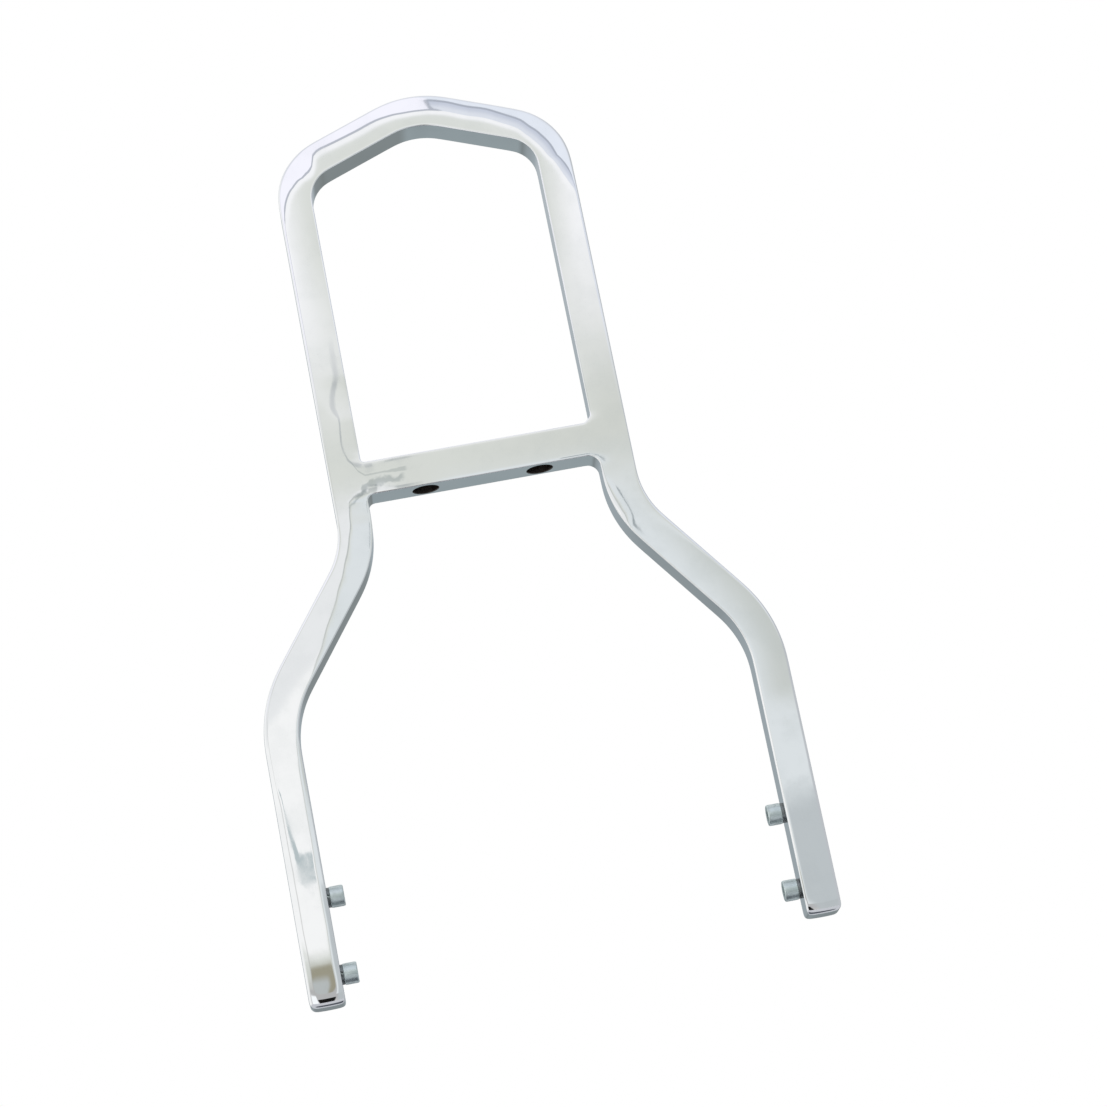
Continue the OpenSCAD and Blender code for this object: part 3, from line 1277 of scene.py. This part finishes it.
    def _cutters(self) -> bpy.types.Object:
        """Makes the tools that cut the pad screws' holes and the tapped holes.

        Returns:
            All the cutters in one mesh.
        """
        rim = self.hole_rim
        bore, hole = self.counterbore_d / 2, self.pad_hole_d / 2
        pad_profile = [
            (-rim, bore + 2 * rim),
            (rim, bore),
            (self.counterbore_depth, bore),
            (self.counterbore_depth, hole),
            (self.bar_w - rim, hole),
            (self.bar_w + rim, hole + 2 * rim),
        ]
        tap = self.tap_d / 2
        tip = self.tap_depth + tap * self.drill_tip_share
        tap_profile = [(-rim, tap), (self.tap_depth, tap), (tip, self.drill_tip_r)]
        made = []
        pad = Bench.turned("pad_hole_cutter", self.bore_sides, pad_profile)
        for side in Side:
            spot = Vector((side.sign * self.pad_hole_spacing / 2, 0, self.crossbar_z - self.half_w))
            made.append(pad.copy(f"pad_cutter_{side.value}", Matrix.Translation(spot)))
        tapped = Bench.turned("tap_cutter", self.tap_sides, tap_profile)
        inner = self.leg_x - self.half_w
        for side, node, low, high in fastener_places("screw"):
            spot = Vector((side.sign * inner, 0, (low.z + high.z) / 2))
            turn = Matrix.Rotation(side.sign * QUARTER, 4, "Y")
            made.append(tapped.copy(f"tap_cutter_{node}", Matrix.Translation(spot) @ turn))
        Bench.clear()
        for cutter in (pad.obj, tapped.obj):
            bpy.data.objects.remove(cutter, do_unlink=True)
        for cutter in made:
            cutter.select_set(True)
        bpy.context.view_layer.objects.active = made[0]
        bpy.ops.object.join()
        return made[0]

    def build(self) -> list[bpy.types.Object]:
        """Builds and dresses the plated bar.

        Returns:
            The one piece, which stands for the bent bar, the crossbar and both welds.
        """
        bench = self._front_sheet()
        self._shape(bench)
        self._wear_edges(bench)
        self._polish(bench)
        bench.obj.data.materials.append(self.finish.material())
        cutters = self._cutters()
        # The holes get bare steel darkened as painted shade for their recesses.
        cutters.data.materials.append(self.bore_finish_and_painted_shade.material())
        bench.apply(
            "BOOLEAN",
            operation="DIFFERENCE",
            solver="EXACT",
            material_mode="TRANSFER",
            object=cutters,
        )
        bpy.data.objects.remove(cutters, do_unlink=True)
        bench.tidy(HAIR, self.shading_angle)
        piece = bench.obj
        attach(piece, BODY)
        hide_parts("bent_bar", "crossbar", "weld_left", "weld_right")
        return [piece]


def fastener_places(kind: str) -> Iterator[tuple[Side, str, Vector, Vector]]:
    """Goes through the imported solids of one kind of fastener.

    Args:
        kind: What the solids' names start with.

    Yields:
        The side, the solid's name, and the low and high corner of its box.
    """
    for side in Side:
        for level in ("lower", "upper"):
            node = f"{kind}_{side.value}_{level}"
            yield side, node, *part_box(node)


@dataclass
class KnurledScrews:
    """The four socket head screws in the legs' inner faces."""

    finish: Zinc
    shank_d: float = 6.35 * MM
    shank_length: float = 12.7 * MM
    head_h: float = 6.35 * MM
    under_bevel: float = 0.3 * MM
    tip_bevel: float = 0.7 * MM
    rim_r: float = 0.6 * MM
    rim_steps: int = 3
    knurls: int = 54
    knurl_depth: float = 0.045 * MM
    knurl_start: Rise = (0.75 * MM, 0.9 * MM)
    knurl_end: Rise = (0.35 * MM, 0.15 * MM)
    socket_flats: float = 4.76 * MM
    socket_corner_r: float = 2.7489 * MM
    socket_depth: float = 3.2 * MM
    socket_bevel: Rise = (0.25 * MM, 0.2 * MM)
    socket_floor_share: float = 0.8
    drill_point: tuple[float, float] = (0.8 * MM, 0.3 * MM)
    shading_angle: float = 32
    turns: tuple[float, ...] = (0.3, 1.1, 0.75, 1.6)

    def _hexagon(self, angle: float) -> float:
        """The socket's radius in a direction."""
        return self.socket_flats / 2 / math.cos((angle % (math.pi / 3)) - math.pi / 6)

    def _knurled(self, radius: float) -> Callable[[float], float]:
        """A radius that steps out at every other vertex.

        Args:
            radius: The radius in the grooves.

        Returns:
            The radius in a direction.
        """

        def ridge(angle: float) -> float:
            """The knurl's radius in a direction."""
            return radius + round(angle / math.pi * self.knurls) % 2 * self.knurl_depth

        return ridge

    def _model(self, head_d: float) -> Bench:
        """Models one screw along Z, with the underside of its head at the origin.

        Args:
            head_d: The head's diameter over the knurl.

        Returns:
            The screw.
        """
        shank, groove = self.shank_d / 2, head_d / 2 - self.knurl_depth
        knurl_top, floor = self.head_h - self.rim_r, self.head_h - self.socket_depth
        flat_width, flat_drop = self.socket_bevel
        point_depth, point_r = self.drill_point
        profile = [
            (-self.shank_length, shank - self.tip_bevel),
            (self.tip_bevel - self.shank_length, shank),
            (0.0, shank),
            (0.0, groove - self.under_bevel),
            (self.under_bevel, groove),
            (self.knurl_start[0], groove),
            (self.knurl_start[1], self._knurled(groove)),
            (knurl_top - self.knurl_end[0], self._knurled(groove)),
            (knurl_top - self.knurl_end[1], groove),
        ]
        for step in range(self.rim_steps + 1):
            angle = step / self.rim_steps * QUARTER
            inward = self.rim_r * (1 - math.cos(angle))
            height = self.head_h - self.rim_r * (1 - math.sin(angle))
            profile.append((height, groove - inward))
        profile += [
            (self.head_h, self.socket_corner_r + flat_width),
            (self.head_h - flat_drop, self._hexagon),
            (floor, self._hexagon),
            (floor, self.socket_flats / 2 * self.socket_floor_share),
            (floor - point_depth, point_r),
        ]
        bench = Bench.turned("knurled_screw", self.knurls * 2, profile)
        bench.tidy(2 * HAIR, self.shading_angle)
        return bench

    def build(self) -> list[bpy.types.Object]:
        """Builds and dresses the four screws.

        Returns:
            The pieces.
        """
        low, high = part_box("screw_right_lower")
        bench = self._model(high.z - low.z)
        bench.obj.data.materials.append(self.finish.material())
        made = []
        for side, node, low, high in fastener_places("screw"):
            head_end = min(abs(low.x), abs(high.x))
            seat = Vector((side.sign * (head_end + self.head_h), 0, (low.z + high.z) / 2))
            stand = Matrix.Rotation(-side.sign * QUARTER, 4, "Y")
            turn = Matrix.Rotation(self.turns[len(made)], 4, "Z")
            piece = bench.copy(f"knurled_{node}", Matrix.Translation(seat) @ stand @ turn)
            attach(piece, BODY)
            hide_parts(node)
            made.append(piece)
        bpy.data.objects.remove(bench.obj, do_unlink=True)
        return made


@dataclass
class LockWashers:
    """The split lock washers under the screws' heads."""

    finish: Zinc
    hole_d: float = 6.75 * MM
    split: float = 0.9 * MM
    slant: float = math.radians(30)
    steps: int = 60
    edge: float = 0.12 * MM
    sharp: float = math.radians(50)
    shading_angle: float = 40

    def _model(self, outer_d: float, thickness: float) -> Bench:
        """Models one washer along Z, with its split towards +X.

        Args:
            outer_d: The outer diameter.
            thickness: The thickness.

        Returns:
            The washer.
        """
        width = (outer_d - self.hole_d) / 2
        middle = (outer_d + self.hole_d) / 4
        half_gap = self.split / 2 / middle
        Bench.clear()
        bpy.ops.mesh.primitive_plane_add(
            size=thickness,
            location=(middle, 0, thickness / 2),
            rotation=(QUARTER, 0, 0),
        )
        bench = Bench("split_washer")

        def section(point: Vector) -> Vector:
            """Gives the square section its width and turns it to the side of the split."""
            radius = middle + (point.x - middle) * width / thickness
            return Matrix.Rotation(half_gap, 3, "Z") @ Vector((radius, 0, point.z))

        def slanted(point: Vector) -> Vector:
            """Turns a layer round the axis by its height."""
            twist = (point.z - thickness / 2) * math.tan(self.slant) / middle
            return Matrix.Rotation(twist, 3, "Z") @ point

        with bench.editing(Part.FACES):
            bpy.ops.mesh.select_all(action="SELECT")
            bench.move_picked(section)
            angle = math.tau - 2 * half_gap
            bpy.ops.mesh.spin(steps=self.steps, angle=-angle, center=(0, 0, 0), axis=(0, 0, 1))
            bpy.ops.mesh.select_all(action="SELECT")
            bpy.ops.mesh.remove_doubles(threshold=HAIR)
            bench.move_picked(slanted)
            bpy.ops.mesh.normals_make_consistent(inside=False)
            bench.pick(Part.EDGES, lambda e: e.is_manifold and e.calc_face_angle() > self.sharp)
            bpy.ops.mesh.bevel(offset=self.edge, segments=2)
        bench.tidy(HAIR, self.shading_angle)
        return bench

    def build(self) -> list[bpy.types.Object]:
        """Builds and dresses the four washers.

        Returns:
            The pieces.
        """
        low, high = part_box("lock_washer_right_lower")
        bench = self._model(high.z - low.z, high.x - low.x)
        bench.obj.data.materials.append(self.finish.material())
        made = []
        for side, node, low, high in fastener_places("lock_washer"):
            seat = Vector((low.x if side is Side.LEFT else high.x, 0, (low.z + high.z) / 2))
            stand = Matrix.Rotation(-side.sign * QUARTER, 4, "Y")
            turn = Matrix.Rotation(side.sign * QUARTER, 4, "Z")
            piece = bench.copy(f"split_{node}", Matrix.Translation(seat) @ stand @ turn)
            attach(piece, BODY)
            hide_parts(node)
            made.append(piece)
        bpy.data.objects.remove(bench.obj, do_unlink=True)
        return made


@dataclass(frozen=True)
class Card:
    """A card, screen or shade of the studio, in the directions that mirrored rays take.

    A direction has length 1. A card shows between two heights, and across between two sides, right
    of one or left of one.
    """

    colour: Colour
    z: Range
    x: Range | None = None
    x_above: Rise | None = None
    x_below: Rise | None = None
    strength: float = 1.0

    def mask(self, x: Value, z: Value) -> Value:
        """How strongly the card shows.

        Args:
            x: The direction's X.
            z: The direction's Z.

        Returns:
            The soft mask.
        """
        shown = z.between(*self.z) * self.strength
        if self.x:
            shown = shown * x.between(*self.x)
        if self.x_above:
            shown = shown * x.above(*self.x_above)
        if self.x_below:
            shown = shown * x.below(*self.x_below)
        return shown


# What the hoop and the S bends mirror: the grey to the right, the left glow and the white below it.
HOOP_CARDS = (
    Card((0.68, 0.70, 0.66), z=(0.29, 0.345, 0.015), x_above=(0.04, 0.10)),
    Card((0.88, 0.89, 0.90), z=(0.20, 0.285, 0.015), x_below=(0.020, 0.034)),
    Card(WHITE, z=(0.168, 0.235, 0.006), x_below=(0.0, 0.05)),
)
# What the legs mirror: the white and the black card below, the pale side, the shade over the right
# hip and the dim side under it.
LEG_CARDS = (
    Card((1.06, 1.08, 1.10), z=(-0.6, 0.06, 0.03), x=(-0.4, -0.095, 0.015)),
    Card((0.01, 0.01, 0.01), z=(-0.62, -0.14, 0.03), x=(-0.075, 0.04, 0.012)),
    Card((0.78, 0.82, 0.84), z=(0.05, 0.27, 0.03), x_above=(0.036, 0.05)),
    Card((0.62, 0.65, 0.63), z=(0.215, 0.27, 0.01), x_above=(0.085, 0.15)),
    Card((0.52, 0.56, 0.58), z=(-0.6, 0.180, 0.008), x_above=(0.06, 0.11), strength=0.9),
)
# The seam that the right S bend mirrors, and the post that the left leg's outer slope mirrors.
EDGE_CARDS = (
    Card((0.28, 0.32, 0.34), z=(0.2605, 0.2765, 0.003), x=(0.081, 0.087, 0.002), strength=0.85),
    Card((0.45, 0.45, 0.44), z=(0.10, 0.30, 0.02), x=(-0.085, -0.075, 0.012), strength=0.5),
)


@dataclass(frozen=True)
class Tent:
    """The white tent's round opening, which the arch's ground slopes mirror.

    Distances are measured from its middle, in the direction's X and Z. A dark line runs round the
    opening on the left, changes over in a hook, and runs further out on the right.
    """

    middle_x: float = 0.05
    middle_z: float = 0.385
    rise_z: Rise = (0.30, 0.36)
    right_x: Rise = (0.080, 0.090)
    inside: Rise = (0.01, 0.075)
    outside: Rise = (0.11, 0.13)
    far: Rise = (0.3, 0.65)
    band: Range = (0.120, 0.235, 0.012)
    band_shade: Rise = (0.14, 0.22)
    left_line: Range = (0.112, 0.126, 0.009)
    left_line_x: Rise = (0.082, 0.090)
    hook: Range = (0.118, 0.236, 0.008)
    hook_x: Range = (0.079, 0.087, 0.006)
    right_line: Range = (0.228, 0.24, 0.01)
    line_strength: float = 0.8
    inside_colour: Colour = (1.0, 1.0, 1.02)
    left_colour: Colour = (1.02, 1.01, 1.10)
    right_colour: Colour = (0.86, 0.90, 0.99)
    far_colour: Colour = (0.72, 0.74, 0.81)
    band_colours: tuple[Colour, Colour] = ((0.80, 0.83, 0.91), (0.63, 0.67, 0.78))
    line_colour: Colour = (0.40, 0.43, 0.50)

    def over(self, graph: Graph, x: Value, z: Value, front: Value) -> Value:
        """Adds the tent.

        Args:
            graph: The world's graph.
            x: The direction's X.
            z: The direction's Z.
            front: What lies in front so far.

        Returns:
            The front with the tent.
        """
        level, upright = x - self.middle_x, z - self.middle_z
        reach = graph.math("SQRT", level * level + upright * upright)
        high = z.above(*self.rise_z)
        right = x.above(*self.right_x)
        front = graph.blend(reach.above(*self.inside) * high, front, self.inside_colour)
        outside = graph.blend(right, self.left_colour, self.right_colour)
        front = graph.blend(reach.above(*self.outside) * high, front, outside)
        front = graph.blend(reach.above(*self.far) * high, front, self.far_colour)
        lilac = graph.blend(reach.above(*self.band_shade), *self.band_colours)
        front = graph.blend(reach.between(*self.band) * right * high, front, lilac)
        line = reach.between(*self.left_line) * x.below(*self.left_line_x)
        line = graph.largest(line, reach.between(*self.hook) * x.between(*self.hook_x))
        line = graph.largest(line, reach.between(*self.right_line) * right)
        return graph.blend(line * high * self.line_strength, front, self.line_colour)


@dataclass
class Studio:
    """The floor, the light and the camera.

    The stops of the sky's two halves give an angle above the horizon, in degrees, and a colour. The
    front half is what the front faces mirror: the dark edge of the floor, a grey screen and the
    soft sky. The back half is what undersides and inner faces mirror: a blue-grey room.
    """

    tent: Tent
    floor_z: float = -0.45
    floor_r: float = 0.88
    floor_fade: Rise = (0.396, 0.8096)
    floor_colour: Colour = (0.78, 0.78, 0.79)
    floor_roughness: float = 0.9
    dark_floor: Colour = (0.10, 0.11, 0.13)
    dark_floor_fade: Rise = (0.20, 0.30)
    green: Colour = (0.48, 0.55, 0.57)
    green_strength: float = 0.95
    patch: Card = Card(WHITE, z=(0.1875, 0.194, 0.001), x=(-0.024, 0.008, 0.004))
    patch_slit_z: Range = (0.1894, 0.1899, 0.0006)
    patch_slit_strength: float = 0.75
    wisp_z: Range = (0.192, 0.212, 0.003)
    wisp_lean: float = 0.9
    wisp_x: Range = (0.1475, 0.1535, 0.0015)
    brown: Colour = (0.34, 0.32, 0.24)
    brown_card: Card = Card(WHITE, z=(0.11, 0.153, 0.010), x=(-0.07, 0.015, 0.01), strength=0.95)
    low_left: Colour = (0.50, 0.53, 0.53)
    low_left_z: Rise = (0.130, 0.146)
    low_left_x: Rise = (-0.011, -0.002)
    post: Card = Card((0.42, 0.45, 0.46), z=(0.10, 0.33, 0.01), x=(0.029, 0.033, 0.005))
    post_gain_z: Rise = (0.25, 0.30)
    post_strength: tuple[float, float] = (0.5, 0.3)
    post_break_z: Range = (0.2895, 0.3045, 0.0015)
    inner_shade: Colour = (0.20, 0.22, 0.22)
    inner_shade_x: Rise = (0.12, 0.24)
    inner_shade_z: Rise = (0.15, 0.3)
    inner_shade_strength: float = 0.7
    back_y: Rise = (-0.25, 0.25)
    left_tent_x: Rise = (-0.85, -0.35)
    left_tent_y: Rise = (0.4, 0.8)
    right_wall: Colour = (0.55, 0.57, 0.60)
    right_wall_x: Rise = (0.4, 0.85)
    front_stops: tuple[tuple[float, Colour], ...] = (
        (-56, (0.05, 0.06, 0.07)),
        (-42, (0.62, 0.62, 0.62)),
        (-32, (0.62, 0.61, 0.60)),
        (-10, (0.50, 0.50, 0.51)),
        (6, (0.50, 0.50, 0.50)),
        (9, (0.72, 0.74, 0.70)),
        (21, (0.74, 0.76, 0.72)),
        (24, (0.80, 0.82, 0.80)),
        (40, (0.92, 0.92, 0.97)),
    )
    back_stops: tuple[tuple[float, Colour], ...] = (
        (-36, (0.04, 0.05, 0.06)),
        (-26, (0.26, 0.30, 0.32)),
        (-22, (0.30, 0.35, 0.37)),
        (-14, (0.30, 0.35, 0.37)),
        (-8, (0.22, 0.25, 0.26)),
        (0, (0.30, 0.34, 0.36)),
        (15, (0.35, 0.40, 0.43)),
        (40, (0.70, 0.73, 0.77)),
        (70, (0.92, 0.92, 0.95)),
    )
    camera_place: tuple[float, float, float] = (-0.0871945, -1.4724795, -0.2220606)
    camera_right: tuple[float, float, float] = (0.98151993, -0.02222278, -0.19006518)
    camera_up: tuple[float, float, float] = (0.17673461, -0.27555855, 0.94489807)
    lens: float = 108.876
    sensor: float = 36.0

    def _floor(self) -> None:
        """Lays a pale round floor that fades into the white background."""
        Bench.clear()
        bpy.ops.mesh.primitive_circle_add(
            vertices=128,
            radius=self.floor_r,
            fill_type="NGON",
            location=(0, 0, self.floor_z),
        )
        bench = Bench("studio_floor")
        material, graph = fresh_material("pale_floor")
        level = graph.place(scale=(1, 1, 0))
        distance = graph.node("ShaderNodeVectorMath", {"operation": "LENGTH"}, {0: level}, "Value")
        camera_ray = graph.node("ShaderNodeLightPath", output="Is Camera Ray")
        rim = distance.above(*self.floor_fade) * camera_ray
        mirrored = graph.node("ShaderNodeLightPath", output="Is Glossy Ray")
        near = distance.below(*self.dark_floor_fade)
        colour = graph.blend(mirrored * near, self.floor_colour, self.dark_floor)
        inputs = {"Base Color": colour, "Roughness": self.floor_roughness}
        pale = graph.node("ShaderNodeBsdfPrincipled", None, inputs)
        white = graph.node("ShaderNodeEmission", None, {"Strength": 1.0})
        mixed = graph.node("ShaderNodeMixShader", None, {0: rim, 1: pale, 2: white})
        graph.node("ShaderNodeOutputMaterial", None, {"Surface": mixed})
        bench.obj.data.materials.append(material)

    @staticmethod
    def _sky(graph: Graph, z: Value, stops: Sequence[tuple[float, Colour]]) -> Value:
        """Makes a sky that changes with height.

        Args:
            graph: The world's graph.
            z: The direction's Z.
            stops: Angles above the horizon, in degrees, and colours.

        Returns:
            The sky's colour.
        """
        places = [(math.sin(math.radians(angle)) / 2 + 0.5, colour) for angle, colour in stops]
        return graph.node("ShaderNodeValToRGB", {"stops": places}, {0: z * 0.5 + 0.5})

    def _small_cards(self, graph: Graph, x: Value, z: Value, front: Value) -> Value:
        """Adds the green patch and wisp that the left S bend mirrors, and the left leg's brown.

        Args:
            graph: The world's graph.
            x: The direction's X.
            z: The direction's Z.
            front: What lies in front so far.

        Returns:
            The front with them.
        """
        slit = z.between(*self.patch_slit_z) * self.patch_slit_strength
        wisp = z.between(*self.wisp_z) * (x + z * self.wisp_lean).between(*self.wisp_x)
        green = graph.largest(self.patch.mask(x, z) * (1 - slit), wisp)
        front = graph.blend(green * self.green_strength, front, self.green)
        low_left = z.below(*self.low_left_z) * x.below(*self.low_left_x)
        brown = graph.blend(low_left, self.brown, self.low_left)
        return graph.blend(self.brown_card.mask(x, z), front, brown)

    def _post(self, graph: Graph, x: Value, z: Value, front: Value) -> Value:
        """Adds the grey post that the lines on the left S bend and hoop mirror.

        Args:
            graph: The world's graph.
            x: The direction's X.
            z: The direction's Z.
            front: What lies in front so far.

        Returns:
            The front with the post, which has a break where the crossbar would mirror it.
        """
        least, gain = self.post_strength
        strength = z.above(*self.post_gain_z) * gain + least
        whole = 1 - z.between(*self.post_break_z)
        return graph.blend(self.post.mask(x, z) * strength * whole, front, self.post.colour)

    def _world(self) -> None:
        """Surrounds the object with a white background and a soft studio's screens."""
        world = bpy.data.worlds.new("studio_light")
        bpy.context.scene.world = world
        world.use_nodes = True
        graph = Graph(world.node_tree)
        x, y, z = graph.axes(graph.node("ShaderNodeTexCoord", output="Generated"))
        front = self._sky(graph, z, self.front_stops)
        for card in HOOP_CARDS:
            front = graph.blend(card.mask(x, z), front, card.colour)
        front = self._small_cards(graph, x, z, front)
        for card in LEG_CARDS:
            front = graph.blend(card.mask(x, z), front, card.colour)
        front = self._post(graph, x, z, front)
        for card in EDGE_CARDS:
            front = graph.blend(card.mask(x, z), front, card.colour)
        front = self.tent.over(graph, x, z, front)
        inner = x.above(*self.inner_shade_x) * z.below(*self.inner_shade_z)
        back = self._sky(graph, z, self.back_stops)
        back = graph.blend(inner * self.inner_shade_strength, back, self.inner_shade)
        around = graph.blend(y.above(*self.back_y), front, back)
        left_tent = x.below(*self.left_tent_x) * y.below(*self.left_tent_y)
        around = graph.blend(left_tent, around, WHITE)
        around = graph.blend(x.above(*self.right_wall_x), around, self.right_wall)
        camera_ray = graph.node("ShaderNodeLightPath", output="Is Camera Ray")
        seen = graph.blend(camera_ray, around, WHITE)
        shader = graph.node("ShaderNodeBackground", None, {"Color": seen, "Strength": 1.0})
        graph.node("ShaderNodeOutputWorld", None, {"Surface": shader})

    def _camera(self) -> None:
        """Sets the camera up at the place and tilt that the photograph was taken from."""
        right, up = Vector(self.camera_right), Vector(self.camera_up)
        data = bpy.data.cameras.new("camera")
        data.lens = self.lens
        data.sensor_width = self.sensor
        camera = bpy.data.objects.new("camera", data)
        turn = Matrix((right, up, right.cross(up))).transposed()
        camera.matrix_world = Matrix.Translation(self.camera_place) @ turn.to_4x4()
        bpy.context.scene.collection.objects.link(camera)
        bpy.context.scene.camera = camera

    def build(self) -> None:
        """Sets the whole studio up."""
        self._floor()
        self._world()
        self._camera()
        bpy.context.scene.view_settings.view_transform = "Standard"


def main() -> None:
    """Builds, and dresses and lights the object."""
    logging.basicConfig(level=logging.INFO, format="%(name)s: %(message)s")
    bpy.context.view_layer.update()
    # Unplated steel in the holes, darkened far past real steel as painted shade in the holes'
    # recesses.
    bare_bore_and_painted_shade = Zinc("bare_bore_and_painted_shade", (0.10, 0.085, 0.075), (0.05, 0.04, 0.035), roughness=0.45)
    zinc = Zinc("dull_zinc", (0.62, 0.70, 0.69), (0.56, 0.63, 0.62))
    # The washers' zinc is made far darker than the screws': painted shade between the heads and the
    # legs.
    washer_zinc_painted_shade = Zinc("washer_zinc_painted_shade", (0.22, 0.24, 0.24), (0.13, 0.14, 0.14), roughness=0.34)
    for maker in (PlatedBar(Chrome(), bare_bore_and_painted_shade), KnurledScrews(zinc), LockWashers(washer_zinc_painted_shade)):
        for piece in maker.build():
            LOG.info("%s: %d faces", piece.name, len(piece.data.polygons))
    Studio(Tent()).build()


if __name__ == "__main__":
    main()
